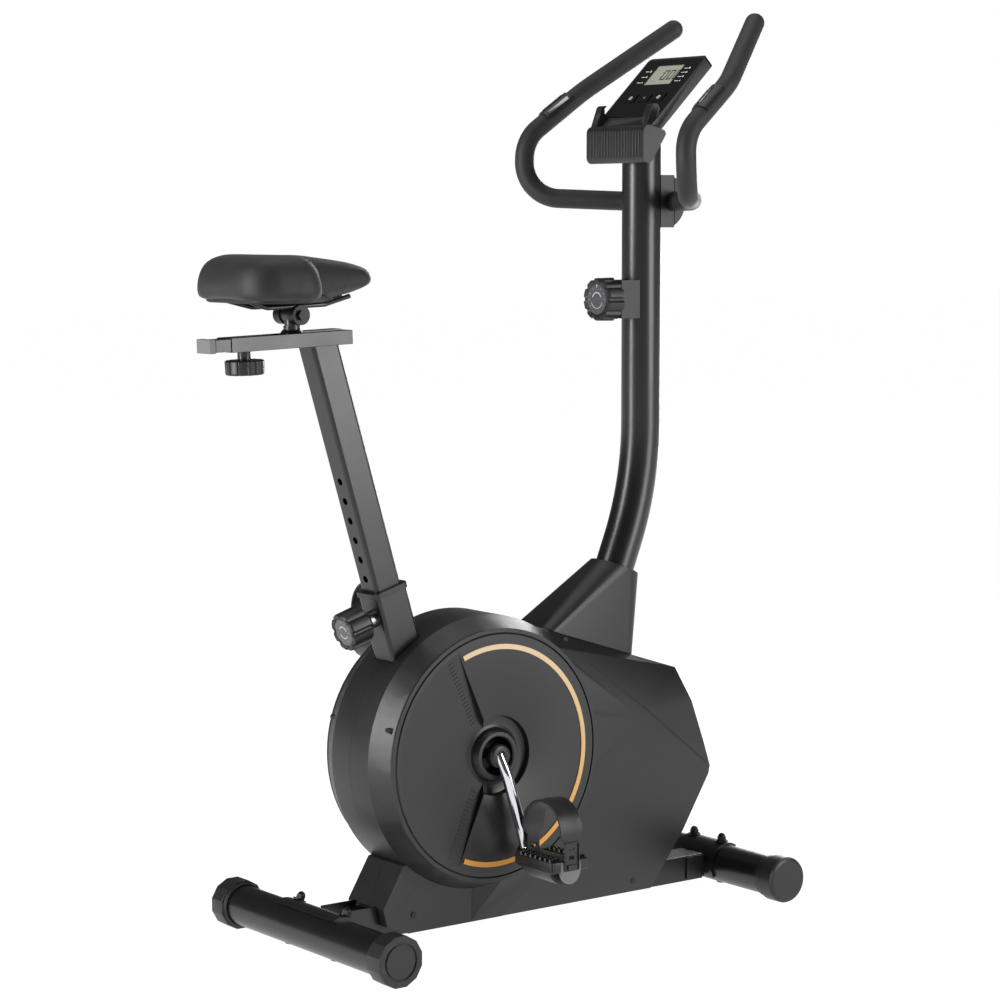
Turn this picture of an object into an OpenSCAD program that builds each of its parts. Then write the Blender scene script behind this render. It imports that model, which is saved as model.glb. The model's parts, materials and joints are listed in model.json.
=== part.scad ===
// Upright magnetic exercise bike. Millimetres, +X forward, +Y to the rider's left, +Z up.
// The origin is on the floor, at the centre of the bike's length and width.

/* [Feet] */
// Distance of each stabiliser's axis in front of and behind the origin, rear one
rear_axis_x = 309; // [290:1:330]
// Distance of the front stabiliser's axis in front of the origin
front_axis_x = 447.3; // [430:1:460]
// Outside radius of both stabiliser tubes
foot_tube_r = 30; // [28:0.5:31]
// Across-corners radius of the twelve-sided rear caps
rear_cap_r = 37.4; // [36:0.2:40]
// Radius of the front transport rollers
roller_r = 35.5; // [34:0.5:38]
// Half of the rear stabiliser's length, caps included
rear_half = 220; // [200:1:240]
// Half of the front stabiliser's length, rollers included
front_half = 188; // [170:1:200]

/* [Drive] */
// Crank axle ahead of the origin
crank_x = -39.5; // [-45:0.5:-30]
// Height of the crank axle
crank_z = 272.9; // [265:0.5:280]
// Crank length, axle to pedal spindle
crank_l = 148; // [140:1:155]
// Forward angle of the right crank from straight down
crank_a = 13; // [0:1:30]
// Radius of the drive pulley
pulley_r = 115; // [100:1:120]
// Radius of the flywheel's small pulley
small_r = 28; // [24:1:32]
// Radius of the flywheel
flywheel_r = 96; // [88:1:96]
// Flywheel centre ahead of the origin
fly_x = 285; // [275:1:290]
// Height of the flywheel centre
fly_z = 180; // [175:1:190]

/* [Casing] */
// Radius of the round part of the casing
rim_r = 204; // [198:1:206]
// Radius of the round side discs
disc_r = 180.7; // [175:0.5:182]
// Half width of the casing at the rim
rim_y = 46; // [44:1:50]
// Half width of the casing at the side discs
side_y = 80; // [76:1:84]
// Wall thickness of the casing
wall = 3; // [2:0.5:4]
// Outside radius of the coloured ring on each disc
ring_r = 165; // [150:0.5:170]
// Width of the coloured ring
ring_w = 7.5; // [5:0.5:10]

/* [Seat] */
// Lean of the seat post from the vertical
post_lean = 16.8; // [14:0.2:18]
// Fore-and-aft size of the seat post
post_d = 45.5; // [42:0.5:48]
// Width of the seat post
post_w = 40; // [36:0.5:42]
// Spacing of the height holes
hole_pitch = 30; // [28:1:30]
// Tilt of the saddle rail, nose up
rail_tilt = 2; // [0:0.5:3]
// Radius of the pull knob
pull_r = 29; // [26:0.5:32]

/* [Handlebar] */
// Radius of the steel handlebar tube
bar_r = 12.5; // [12:0.1:13]
// Radius of the foam grips
foam_r = 15; // [14.5:0.1:16]
// Radius of the upright post
upright_r = 30; // [28:0.5:31]
// Tilt of the console's face from the horizontal
console_tilt = 44; // [40:1:50]

/* [Hidden] */
$fn = 64;

rear_z = rear_cap_r * cos(15);
front_z = roller_r;
fit = 0.06;         // radial clearance of a running fit
gap = 0.4;          // clearance between pieces that slide or lie side by side
bracket_t = 4;
beam_w = 50;
beam_low = 13.4;
beam_top = 53.4;
beam_rear = -rear_axis_x + foot_tube_r + 2.6;
beam_front = front_axis_x - foot_tube_r - 2.6;

post_x = -239.4;    // the seat post's axis passes this point at post_z
post_z = 700;
post_top = 182;     // stations along the post's axis
post_low = -345;
lip_s = -190;
pin_s = -222;
socket_d = 55;
socket_w = 50;
holes_below = 2;
holes_above = 7;

rail_x = -337;      // where the saddle stem meets the rail
rail_z = 886.3;
channel_rear = -111.3;
channel_front = 89.7;
slide_rear = -145.6;
clamp_h = 36;       // clamp axis above the rail's middle
knob_x = -80;

upright_x = 302;
bend_z = 745;       // the upright post starts to bend back below this height
bend_a = 22;
bend_r = 494;
bend_x = upright_x - bend_r * (1 - cos(bend_a));
bend_low = bend_z - bend_r * sin(bend_a);
bar_x = 348;
bar_z = 1083;
con_x = 262;        // lower edge of the console's face
con_z = 1195;
con_l = 157;
con_w = 136;
con_t = 18;
button_x = 64;
button_pitch = 33;
tension_z = 934;

crank_y = 92;
pedal_y = 172;
pedal_w = 88;
pedal_d = 68;
pedal_h = 20;
strap_w = 38;
strap_t = 2.6;
pin_r = 7.5;
arm_x = -18;        // pivot of the magnet arm, from the flywheel's centre
arm_z = 102.4;

black = [0.09, 0.09, 0.095];
charcoal = [0.2, 0.2, 0.21];
gold = [0.9, 0.72, 0.35];
silver = [0.82, 0.83, 0.85];

// ---- helpers ----

// Cylinder along Y, centred on y
module along_y(r, l, y = 0) {
    translate([0, y, 0]) rotate([90, 0, 0]) cylinder(r = r, h = l, center = true);
}

// Extrusion of an outline in X and Z, from y0 to y1
module slab(y0, y1) {
    translate([0, y1, 0]) rotate([90, 0, 0]) linear_extrude(y1 - y0) children();
}

// Right-hand copy of a left-hand piece
module on_side(side) {
    if (side > 0) children();
    else mirror([0, 1, 0]) children();
}

// Rectangle with round corners, drawn with true arcs
module rounded(w, h, r) {
    square([w - 2 * r, h], center = true);
    square([w, h - 2 * r], center = true);
    for (i = [-1, 1], j = [-1, 1])
        translate([i * (w / 2 - r), j * (h / 2 - r)]) circle(r);
}

function unit(v) = v / norm(v);

// Round rod through points p, with bend radii b at the inner points. The straights are a hair
// thicker than the bends and run into them.
module rod(p, b, r) {
    lap = 0.05;
    n = len(p) - 1;
    function turn(i) = acos(unit(p[i] - p[i - 1]) * unit(p[i + 1] - p[i]));
    function cut(i) = i == 0 || i == n ? 0 : b[i - 1] * tan(turn(i) / 2);
    for (i = [0 : n - 1]) {
        u = unit(p[i + 1] - p[i]);
        lap_in = i == 0 ? 0 : lap;
        lap_out = i == n - 1 ? 0 : lap;
        start = p[i] + u * (cut(i) - lap_in);
        l = norm(p[i + 1] - p[i]) - cut(i) - cut(i + 1) + lap_in + lap_out;
        translate(start) rotate([0, acos(u[2]), atan2(u[1], u[0])]) cylinder(r = r + 0.03, h = l);
    }
    for (i = [1 : n - 1]) {
        u = unit(p[i] - p[i - 1]);
        v = unit(p[i + 1] - p[i]);
        inward = unit(v - u * (u * v));
        out = -inward;
        w = cross(out, u);
        c = p[i] - u * cut(i) + inward * b[i - 1];
        multmatrix([[out[0], u[0], w[0], c[0]], [out[1], u[1], w[1], c[1]], [out[2], u[2], w[2], c[2]]])
            rotate_extrude(angle = turn(i)) translate([b[i - 1], 0]) circle(r);
    }
}

// Knob along +Z from z = 0, with finger flutes round its edge that never meet each other
module ribbed_knob(r, h, ribs) {
    flute_r = r * min(0.3, 3.3 / ribs);
    difference() {
        cylinder(r = r, h = h);
        for (i = [0 : ribs - 1])
            rotate([0, 0, (i + 0.5) * 360 / ribs]) translate([r * 1.16, 0, -1])
                cylinder(r = flute_r, h = h - 3);
        translate([0, 0, h - 1.2]) difference() {
            cylinder(r = r * 0.78, h = 2);
            translate([0, 0, -1]) cylinder(r = r * 0.66, h = 4);
        }
    }
}

// Frame of the leaning seat post: local z runs up the post
module on_post() { translate([post_x, 0, post_z]) rotate([0, -post_lean, 0]) children(); }

// Frame of the saddle rail: local x runs forward along the rail
module on_rail() { translate([rail_x, 0, rail_z]) rotate([0, -rail_tilt, 0]) children(); }

// Frame of the console's face: local x runs up the face, local z out of it
module on_console() { translate([con_x, 0, con_z]) rotate([0, -console_tilt, 0]) children(); }

// Frame of the pull pin: local z points back, away from the post
module on_pin() { on_post() translate([0, 0, pin_s]) rotate([0, -90, 0]) children(); }

module at_crank() { translate([crank_x, 0, crank_z]) children(); }
module at_flywheel() { translate([fly_x, 0, fly_z]) children(); }

// ---- welded frame ----

module frame_beam() {
    color(black) translate([beam_rear, -beam_w / 2, beam_low]) difference() {
        cube([beam_front - beam_rear, beam_w, beam_top - beam_low]);
        translate([-1, 2.5, 2.5]) cube([beam_front - beam_rear + 2, beam_w - 5, beam_top - beam_low - 5]);
    }
}

// Curved plate over a stabiliser tube, from angle a0 through a degrees
module saddle_plate(half, a0, a) {
    rotate([90, 0, 0]) rotate([0, 0, a0]) rotate_extrude(angle = a)
        translate([foot_tube_r, -half]) square([bracket_t, 2 * half]);
}

module rear_bracket() {
    color(black) translate([-rear_axis_x, 0, rear_z]) {
        saddle_plate(75, -35, 150);
        for (y = [-26, 26]) translate([foot_tube_r + 2, y - 2, -18]) cube([60, 4, 44]);
    }
}

module front_bracket() {
    color(black) translate([front_axis_x, 0, front_z]) {
        saddle_plate(46, 55, 160);
        for (y = [-26, 26]) translate([-foot_tube_r - 38, y - 2, -18]) cube([36, 4, 34]);
    }
}

module cap_nut(a, r) {
    rotate([0, 90 - a, 0]) translate([0, 0, r]) {
        cylinder(r = 10, h = 2);
        cylinder(r = 7.2, h = 8, $fn = 6);
        translate([0, 0, 8]) sphere(r = 5.8);
    }
}

module cap_nuts() {
    r = foot_tube_r + bracket_t;
    color(silver) {
        for (y = [-60, 60]) translate([-rear_axis_x, y, rear_z]) cap_nut(62, r);
        for (y = [-33, 33]) translate([front_axis_x, y, front_z]) cap_nut(90, r);
    }
}

// Rectangular tube leaning with the seat post, down to the beam
module seat_socket() {
    color(charcoal) difference() {
        on_post() translate([0, 0, -720]) linear_extrude(720 + lip_s) difference() {
            rounded(socket_d, socket_w, 6);
            rounded(socket_d - 6, socket_w - 6, 4);
        }
        translate([-250, -60, -100]) cube([400, 120, beam_top + 100]);
        on_pin() cylinder(r = pin_r + fit, h = 60);
    }
}

module socket_bush() {
    color(charcoal) on_post() difference() {
        union() {
            translate([0, 0, lip_s]) linear_extrude(8) rounded(socket_d + 5, socket_w + 4, 8);
            translate([0, 0, lip_s - 24]) linear_extrude(25) rounded(socket_d - 6.4, socket_w - 6.4, 4);
        }
        translate([0, 0, lip_s - 30]) linear_extrude(60) rounded(post_d + 0.6, post_w + 0.6, 6);
    }
}

module pin_collar() {
    color(silver) on_pin() difference() {
        union() {
            translate([0, 0, socket_d / 2]) cylinder(r = 13, h = 10);
            translate([0, 0, socket_d / 2 + 10]) cylinder(r = 9.5, h = 8);
        }
        cylinder(r = pin_r + fit, h = 80);
    }
}

// Straight stub that the main post slips over, leaning with the post's lower end
module front_upright() {
    l = (bend_low - beam_top) / cos(bend_a);
    color(black) difference() {
        translate([bend_x, 0, bend_low]) rotate([0, bend_a, 0]) translate([0, 0, -l - 20])
            difference() {
                cylinder(r = upright_r - 2.1, h = l - 70);
                translate([0, 0, -1]) cylinder(r = upright_r - 5, h = l);
            }
        translate([-60, -60, -100]) cube([300, 120, beam_top + 100]);
    }
}

// The bent upright, from its lower end l below the bend to a point above the console's back
module post_shape(r, l) {
    rod([[upright_x, 0, 1235], [upright_x, 0, bend_z - bend_r * tan(bend_a / 2)],
        [bend_x - l * sin(bend_a), 0, bend_low - l * cos(bend_a)]], [bend_r], r);
}

module main_post() {
    color(black) difference() {
        post_shape(upright_r, 250);
        post_shape(upright_r - 2, 260);
        on_console() translate([-100, -100, -con_t - 0.2]) cube([400, 200, 200]);
    }
}

// Bearing shell, the plates that carry it, and the flywheel's fork
module drive_cradle() {
    color(black) difference() {
        union() {
            at_crank() along_y(21, 68);
            for (y = [-28.5, 24.5]) slab(y, y + 4) {
                polygon([[-125, 250], [-110, 320], [-30, 305], [10, 280], [40, 40], [-60, 40]]);
                polygon([[170, 290], [240, 312], [275, 306], [315, 170], [260, 40], [90, 40]]);
            }
            at_flywheel() translate([arm_x, 0, arm_z]) along_y(4, 57);
            at_flywheel() for (s = [-1, 1]) along_y(12, 6, s * 30);
        }
        at_crank() along_y(8.5 + fit, 80);
        at_flywheel() along_y(6 + fit, 80);
    }
}

// ---- stabilisers ----

module rear_stabiliser() {
    color(black) translate([-rear_axis_x, 0, rear_z]) difference() {
        along_y(foot_tube_r, 2 * rear_half - 12);
        along_y(foot_tube_r - 2, 2 * rear_half);
    }
}

module front_stabiliser() {
    l = 2 * (front_half - 41.5);
    color(black) translate([front_axis_x, 0, front_z]) difference() {
        union() {
            along_y(foot_tube_r, l);
            along_y(22, 2 * front_half - 14);
        }
        along_y(19, 2 * front_half);
        along_y(foot_tube_r - 2, l - 16);
    }
}

// Twelve-sided end cap that turns on the tube's end
module rear_cap(side) {
    color(charcoal) translate([-rear_axis_x, 0, rear_z]) on_side(side) difference() {
        union() {
            translate([0, rear_half, 0]) rotate([90, 0, 0]) rotate([0, 0, 15])
                cylinder(r = rear_cap_r, h = 30, $fn = 12);
            along_y(33.5, 6, rear_half - 33);
        }
        along_y(foot_tube_r + fit, 40, rear_half - 25);
        difference() {
            along_y(27, 4, rear_half);
            along_y(24, 4, rear_half);
        }
    }
}

module front_roller(side) {
    color(charcoal) translate([front_axis_x, 0, front_z]) on_side(side) difference() {
        translate([0, front_half, 0]) rotate([90, 0, 0]) rotate_extrude()
            polygon([[0, 0], [roller_r - 5, 0], [roller_r - 1.5, 1.5], [roller_r, 5], [roller_r, 29],
                [roller_r - 3, 33], [roller_r - 3, 41.2], [0, 41.2]]);
        along_y(22 + fit, 36, front_half - 24);
    }
}

// ---- casing ----

// Side outline of the casing's front part at the rim's width
module body_outline() {
    polygon([[-40, 430], [60, 450.5], [337, 362.5], [372, 306], [397, 240], [411, 199], [408, 186],
        [355, 101], [308, 45], [290, 19.2], [-60, 19.2]]);
}

// Flat part of the side that is level with the disc
module flank_outline() {
    polygon([[0, 430], [60, 425], [109, 389], [240, 298], [81, 99], [0, 110]]);
}

// The foot of the casing behind the wheel
module leg_outline() {
    polygon([[0, 19], [-172, 19], [-209, 33], [-217, 60], [-181, 120], [0, 150]]);
}

// Left half of the casing's outside from y0, made smaller by t for its inside
module half_body(t, y0) {
    at_crank() rotate([-90, 0, 0]) rotate_extrude($fn = 128)
        polygon([[0, y0], [rim_r - t, y0], [rim_r - t, rim_y - t / 2], [rim_r - 16 - t, side_y - t],
            [0, side_y - t]]);
    slab(y0, rim_y - 1 - t) offset(delta = -t) leg_outline();
    hull() {
        slab(y0, rim_y - 1.5 - t) offset(delta = -t) body_outline();
        slab(side_y - 1.1 - t, side_y - 0.5 - t) offset(delta = -t) flank_outline();
    }
}

module casing(side) {
    color(charcoal) on_side(side) difference() {
        union() {
            difference() {
                half_body(0, 0);
                half_body(wall, -5);
            }
            at_crank() difference() {
                along_y(disc_r + 7.3, 4, side_y + 1.9);
                along_y(disc_r + 1.3, 6, side_y + 2);
            }
        }
        at_crank() along_y(disc_r - 9, 30, side_y);
        translate([-300, -10, -10]) cube([800, 10.15, 600]);
        on_post() translate([0, 0, -720]) linear_extrude(900) rounded(socket_d + 2, socket_w + 2, 6);
        translate([bend_x, 0, bend_low]) rotate([0, bend_a, 0]) translate([0, 0, -300])
            cylinder(r = upright_r + 1, h = 300);
        translate([-400, -10, -10]) cube([900, beam_w / 2 + 11, beam_top + 11]);
    }
}

module disc(side) {
    hub_r = 28;
    color(charcoal) at_crank() on_side(side) difference() {
        union() {
            along_y(disc_r, 2.4, side_y + 1.4);
            intersection() {
                along_y(disc_r - 2, 2, side_y + 3.4);
                slab(0, 200) polygon([[19, 0], [-110, 235], [250, 235], [250, -235], [-110, -235]]);
            }
            along_y(hub_r + 4, 2.6, side_y + 3.6);
        }
        along_y(hub_r, 40, side_y);
    }
}

module ring(side) {
    a = 112.3;
    color(gold) at_crank() on_side(side) translate([0, side_y + 4.4, 0]) rotate([90, 0, 0])
        rotate([0, 0, -a]) rotate_extrude(angle = 2 * a) translate([ring_r - ring_w, -1]) square([ring_w, 1]);
}

// Heads stand 1.5 mm proud of the casing: [x, z, distance of the surface from the middle plane]
screw_seats = [[-222, 328, 74.5], [110, 427, 54.9], [248, 38, 51.8], [-163, 45, 45]];

module casing_screws() {
    color(black) for (side = [-1, 1]) on_side(side) for (p = screw_seats)
        translate([p[0], 0, p[1]]) along_y(4.5, 14, p[2] - 5.5);
}

module boot_shape(t) {
    hull() {
        translate([172, 0, 414.9]) rotate([0, 17.6, 0]) translate([0, 0, gap - 2 * t])
            linear_extrude(2) rounded(182 - 2 * t, 2 * (rim_y - 1 - t), 20, $fn = 32);
        translate([bend_x, 0, bend_low]) rotate([0, bend_a, 0]) translate([0, 0, -48 - t])
            cylinder(r = upright_r + 8 - t, h = 8, $fn = 32);
    }
}

module post_boot() {
    color(charcoal) difference() {
        boot_shape(0);
        boot_shape(3);
        translate([bend_x, 0, bend_low]) rotate([0, bend_a, 0]) translate([0, 0, -300])
            cylinder(r = upright_r + gap, h = 400);
    }
}

// ---- drive ----

module crank_axle() { color(silver) at_crank() along_y(8.5, 2 * crank_y - 2); }

module drive_pulley() {
    color(black) at_crank() difference() {
        union() {
            along_y(pulley_r, 10, -41);
            along_y(24, 14, -45);
        }
        along_y(8.5, 200);
        for (i = [0 : 5]) rotate([0, i * 60, 0]) translate([68, 0, 0]) along_y(24, 60, -41);
    }
}

module drive_belt() {
    color(black) slab(-45, -37) difference() {
        hull() {
            translate([crank_x, crank_z]) circle(pulley_r + 2.8);
            translate([fly_x, fly_z]) circle(small_r + 2.8);
        }
        hull() {
            translate([crank_x, crank_z]) circle(pulley_r + gap);
            translate([fly_x, fly_z]) circle(small_r + gap);
        }
    }
}

module flywheel() {
    color(charcoal) at_flywheel() {
        difference() {
            along_y(flywheel_r, 20);
            for (s = [-1, 1]) difference() {
                along_y(flywheel_r - 22, 12, s * 14);
                along_y(26, 14, s * 14);
            }
        }
        along_y(6, 100, -2);
        along_y(small_r, 10, -41);
    }
}

module magnet_arm() {
    color(silver) at_flywheel() difference() {
        union() {
            rotate([90, 0, 0]) rotate([0, 0, 35]) rotate_extrude(angle = 62)
                translate([flywheel_r + 5, -14]) square([6, 28]);
            translate([arm_x, 0, arm_z]) along_y(6.5, 31);
        }
        translate([arm_x, 0, arm_z]) along_y(4 + fit, 60);
    }
}

// One crank arm: boss on the axle, bent rod, eye and pedal spindle
module crank(side) {
    a = side > 0 ? 180 : 0;
    color(silver) at_crank() rotate([0, -crank_a + a, 0]) on_side(side) {
        difference() {
            along_y(15, 12, crank_y - 6);
            along_y(8.5, 60, crank_y - 30);
        }
        rod([[0, crank_y - 4, 2], [0, crank_y + 7, -28], [0, crank_y + 18, -crank_l + 40],
            [0, crank_y + 20, -crank_l + 8]], [60, 60], 8.5);
        translate([0, 0, -crank_l]) {
            along_y(13, 18, crank_y + 20);
            translate([0, crank_y + 20, 0]) rotate([-90, 0, 0])
                cylinder(r = 6, h = pedal_y + pedal_w / 2 - 1 - crank_y - 20);
        }
    }
}

function crank_end(side) = [crank_x - side * crank_l * sin(crank_a), crank_z + side * crank_l * cos(crank_a)];

module at_pedal(side) {
    e = crank_end(side);
    translate([e[0], 0, e[1]]) children();
}

// Pedal platform with tread bars, hub tube and a counterweight that hangs below
module pedal(side) {
    end = pedal_w / 2 - 4;
    outer = pedal_d / 2 - 4;
    color(black) at_pedal(side) on_side(side) translate([0, pedal_y, 0]) difference() {
        union() {
            along_y(11, pedal_w);
            for (y = [-end, end]) translate([0, y, 0]) cube([pedal_d, 8, pedal_h], center = true);
            for (x = [-outer, -outer / 2 - 2, outer / 2 + 2, outer])
                translate([x, 0, 0]) cube([7, pedal_w, pedal_h], center = true);
            slab(-pedal_w / 2 + 8, pedal_w / 2 - 8) intersection() {
                circle(34);
                translate([-32, -50]) square([64, 41]);
            }
        }
        along_y(6 + fit, 300);
    }
}

// Foot strap, an arch across the pedal. Its inner leg ends above the spindle.
module strap(side) {
    half = pedal_w / 2 + 0.6;
    color(black) at_pedal(side) on_side(side) translate([-strap_w / 2, pedal_y, 0]) rotate([90, 0, 90])
        linear_extrude(strap_w) difference() {
            union() {
                translate([0, 45]) circle(half + strap_t);
                translate([-half - strap_t, -8]) square([2 * (half + strap_t), 53]);
            }
            translate([0, 45]) circle(half);
            translate([-half, -9]) square([2 * half, 54]);
            translate([-half - strap_t - 1, -9]) square([20, 18]);
        }
}

// ---- seat ----

module seat_post() {
    color(charcoal) difference() {
        on_post() translate([0, 0, post_low]) linear_extrude(post_top - post_low + 12) difference() {
            rounded(post_d, post_w, 6);
            rounded(post_d - 4, post_w - 4, 4);
        }
        on_rail() translate([-200, -50, -10]) cube([400, 100, 60]);
        for (i = [-holes_below : holes_above]) on_post() translate([0, 0, pin_s + i * hole_pitch])
            rotate([0, -90, 0]) cylinder(r = 5.5, h = 60);
    }
}

module seat_channel() {
    color(charcoal) on_rail() difference() {
        union() {
            translate([channel_rear, -19.5, -10]) cube([channel_front - channel_rear, 39, 20]);
            translate([knob_x, 0, -21.5]) cylinder(r = 9.5, h = 12);
        }
        translate([channel_rear - 1, -18.3, -8.8]) cube([channel_front - channel_rear - 3, 36.6, 17.6]);
        translate([-73, -12.6, 0]) cube([110, 25.2, 20]);
        translate([knob_x, 0, -30]) cylinder(r = 4 + fit, h = 30);
    }
}

module seat_slide() {
    color(black) on_rail() translate([slide_rear + 10, -18, -8.5]) difference() {
        cube([45 - slide_rear - 10, 36, 17]);
        translate([-1, 1.5, 1.5]) cube([45 - slide_rear, 33, 14]);
    }
}

module slide_cap() {
    color([0.55, 0.55, 0.56]) on_rail() {
        translate([slide_rear, -17.5, -9.8]) cube([9.9, 35, 19.6]);
        translate([slide_rear + 5, -16, -6.6]) cube([20, 32, 13.2]);
    }
}

// Stem with its flange, cover strip and the eye that the clamp grips
module saddle_stem() {
    color(black) on_rail() difference() {
        union() {
            translate([0, 0, 8.6]) cylinder(r = 12, h = 12);
            translate([0, 0, 8.6]) cylinder(r = 10.4, h = clamp_h - 8.6);
            translate([0, 0, 10.3]) cylinder(r1 = 17, r2 = 13, h = 5);
            translate([10, -12, 10.4]) cube([66, 24, 2]);
            translate([0, 0, clamp_h]) along_y(12, 21);
        }
        translate([0, 0, clamp_h]) along_y(4 + fit, 60);
    }
}

module slide_knob() {
    color(black) on_rail() translate([knob_x, 0, 0]) {
        translate([0, 0, -22.5]) rotate([180, 0, 0]) ribbed_knob(27.7, 20.5, 14);
        translate([0, 0, -24]) cylinder(r = 4, h = 15);
    }
}

module saddle_clamp() {
    color(black) on_rail() translate([0, 0, clamp_h]) {
        for (s = [-1, 1]) {
            difference() {
                along_y(14, 15.6, s * 18.8);
                translate([0, 0, 12.5]) rotate([0, 90, 0]) translate([0, s * 19, -30]) cylinder(r = 3.6, h = 60);
            }
            translate([0, s * 29.6, 0]) rotate([90, 0, 0]) cylinder(r = 8, h = 6, center = true, $fn = 6);
        }
        along_y(4, 64);
    }
}

module saddle_rails() {
    h = clamp_h + 12.5;
    color(silver) on_rail() for (s = [-1, 1])
        rod([[-96, s * 34, h + 14], [-52, s * 19, h], [44, s * 19, h], [92, s * 10, h + 9]], [20, 20], 3.4);
}

module saddle_outline(grow) {
    hull() for (s = [-1, 1]) {
        translate([-408, s * 48]) circle(50 + grow, $fn = 32);
        translate([-374, s * 58]) circle(44 + grow, $fn = 32);
    }
}

module nose_outline(grow) {
    hull() {
        translate([-362, 0]) circle(62 + grow, $fn = 32);
        translate([-229, 0]) circle(27 + grow, $fn = 32);
    }
}

module layer(z, h) { translate([0, 0, z]) linear_extrude(h) children(); }

module saddle_pan() {
    color(black) {
        layer(943, 7) saddle_outline(-14);
        layer(943, 7) nose_outline(-14);
    }
}

module saddle_pad() {
    color(black) {
        hull() {
            layer(951, 1) saddle_outline(-6);
            layer(966, 10) saddle_outline(0);
            layer(995, 1) saddle_outline(-9);
            layer(1003, 1) saddle_outline(-28);
        }
        hull() {
            layer(951, 1) nose_outline(-6);
            layer(966, 10) nose_outline(0);
            layer(995, 1) nose_outline(-8);
            layer(1001, 1) nose_outline(-18);
        }
    }
}

module pull_knob() {
    color(black) on_pin() {
        translate([0, 0, 47.5]) ribbed_knob(pull_r, 35, 8);
        translate([0, 0, post_d / 2 + 2.4]) cylinder(r = pin_r, h = 30);
    }
}

// ---- handlebar, console and tension ----

bar_points = [[bar_x, 0, bar_z], [bar_x, 66, bar_z], [224, 195, 1090], [224, 192, 1180],
    [325, 172, 1257], [446, 95, 1354]];
bar_bends = [70, 56, 58, 120];

function mirrored(p) = [for (v = p) [v[0], -v[1], v[2]]];
function reversed(p) = [for (i = [len(p) - 1 : -1 : 0]) p[i]];

// The whole bar, tip to tip
module bar(r) {
    half = [for (i = [1 : 5]) bar_points[i]];
    rod(concat(reversed(mirrored(half)), half), concat(reversed(bar_bends), bar_bends), r);
}

// The bar from station y of its straight middle to its tip
module bar_half(side, r, y) {
    p = concat([[bar_x, y, bar_z]], [for (i = [1 : 5]) bar_points[i]]);
    rod(side > 0 ? p : mirrored(p), bar_bends, r);
}

module handlebar_tube() {
    color(black) difference() {
        bar(bar_r);
        bar(bar_r - 1.8);
    }
}

module foam(side) {
    tip = bar_points[5];
    color(charcoal) difference() {
        union() {
            bar_half(side, foam_r, 25);
            translate([tip[0], side * tip[1], tip[2]]) sphere(r = foam_r);
        }
        bar_half(side, bar_r, 20);
    }
}

// Contact plates on the rear of both grips
module pulse_sensors() {
    a = bar_points[3];
    b = bar_points[4];
    u = unit(b - a);
    color(silver) for (side = [-1, 1]) on_side(side) {
        translate(a + u * 47) rotate([0, acos(u[2]), atan2(u[1], u[0])]) difference() {
            cylinder(r = foam_r + 2.2, h = 54);
            translate([0, 0, -1]) cylinder(r = foam_r + 0.1, h = 56);
            translate([-6, -30, -1]) cube([60, 60, 56]);
        }
    }
}

module clamp_block(x0, x1) {
    translate([x0, -24, bar_z - 40]) cube([x1 - x0, 48, 80]);
}

module bar_clamp() {
    color(black) difference() {
        clamp_block(upright_x + 18, bar_x - 0.3);
        translate([upright_x, 0, 900]) cylinder(r = upright_r + 0.2, h = 400);
        translate([bar_x, 0, bar_z]) along_y(bar_r + fit, 100);
    }
}

module clamp_cover() {
    color(charcoal) difference() {
        translate([bar_x + 0.3, 0, bar_z]) rotate([90, 0, 0])
            linear_extrude(48, center = true) intersection() {
                translate([-20, 0]) circle(42);
                translate([0, -40]) square([40, 80]);
            }
        translate([bar_x, 0, bar_z]) along_y(bar_r + fit, 100);
    }
}

module tension_housing() {
    color(charcoal) difference() {
        translate([245, -22, tension_z - 29]) cube([42, 44, 58]);
        translate([upright_x, 0, 800]) cylinder(r = upright_r + 0.2, h = 300);
        translate([200, 0, tension_z]) rotate([0, 90, 0]) cylinder(r = 5 + fit, h = 100);
    }
}

module tension_knob() {
    color(black) translate([244, 0, tension_z]) rotate([0, -90, 0]) {
        ribbed_knob(33, 31, 12);
        translate([0, 0, -20]) cylinder(r = 5, h = 22);
    }
}

module console_shell() {
    color(charcoal) difference() {
        union() {
            on_console() translate([0, 0, -con_t]) linear_extrude(con_t)
                translate([con_l / 2, 0]) rounded(con_l, con_w, 8);
            difference() {
                hull() for (p = [[258, 1150, 10], [259, 1186, 11], [286, 1184, 6]])
                    translate([p[0], 0, p[1]]) along_y(p[2], con_w, 0);
                translate([upright_x, 0, 1000]) cylinder(r = upright_r + gap, h = 300);
            }
            for (s = [-1, 1]) hull() for (p = [[262, 1192, 8], [273, 1221, 8]])
                translate([p[0], 0, p[1]]) along_y(p[2], 14, s * 59);
        }
        on_console() translate([22, -con_w / 2 + 4, -con_t + 3]) cube([con_l - 27, con_w - 8, 30]);
    }
}

module console_face() {
    color(black) on_console() difference() {
        translate([22.5, -con_w / 2 + 4.5, -2.6]) cube([con_l - 28, con_w - 9, 3.2]);
        translate([95, -31, -10]) cube([44, 62, 20]);
        for (i = [-1 : 1]) translate([button_x - 8.8, i * button_pitch - 12.3, -10]) cube([17.6, 24.6, 20]);
    }
}

module lcd_glass() {
    color([0.6, 0.63, 0.55]) on_console() translate([95.2, -30.8, -2.8]) cube([43.6, 61.6, 2.2]);
}

module button(i) {
    color(black) on_console() translate([button_x - 8.5, i * button_pitch - 12, -4.5]) cube([17, 24, 6.3]);
}

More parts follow.
